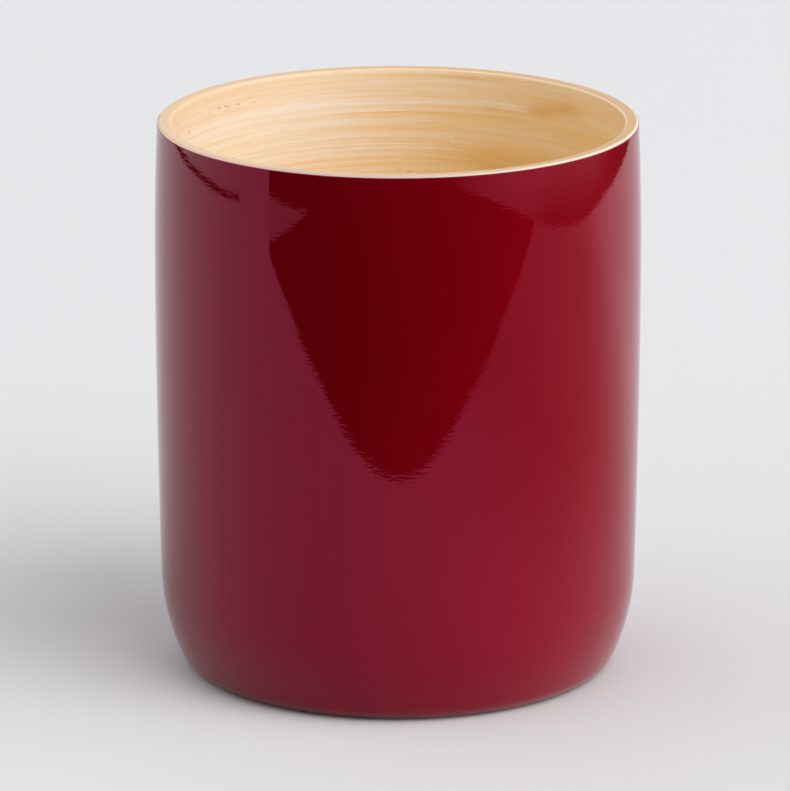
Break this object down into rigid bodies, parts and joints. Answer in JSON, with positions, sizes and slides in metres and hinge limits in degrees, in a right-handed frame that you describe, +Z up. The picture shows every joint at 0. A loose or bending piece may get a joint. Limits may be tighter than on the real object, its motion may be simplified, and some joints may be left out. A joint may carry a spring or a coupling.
{
  "type": "bamboo cup",
  "caption": "Handleless tumbler wound from split bamboo strips, bare and varnished inside with a rounded lip, glossy crimson lacquer outside, rounded heel on a flat foot.",
  "frame": {"origin": "centre of the flat foot, on the surface the cup stands on", "axes": "+Z up along the cup's axis; the cup is round, so X and Y are free"},
  "size_m": [0.086, 0.086, 0.099],
  "materials": {
    "bamboo": "bare bamboo, sanded, clear satin varnish",
    "ground": "pale filling ground, sanded",
    "lacquer": "glossy crimson lacquer"
  },
  "bodies": {
    "root": {"floor_strip_01": "bamboo", "floor_strip_02": "bamboo", "floor_strip_03": "bamboo", "heel_strip_01": "bamboo", "heel_strip_02": "bamboo", "wall_strip_01": "bamboo", "wall_strip_02": "bamboo", "wall_strip_03": "bamboo", "wall_strip_04": "bamboo", "wall_strip_05": "bamboo", "wall_strip_06": "bamboo", "wall_strip_07": "bamboo", "wall_strip_08": "bamboo", "wall_strip_09": "bamboo", "wall_strip_10": "bamboo", "wall_strip_11": "bamboo", "wall_strip_12": "bamboo", "rim_strip": "bamboo", "ground_coat": "ground", "lacquer_coat": "lacquer"}
  },
  "joints": []
}
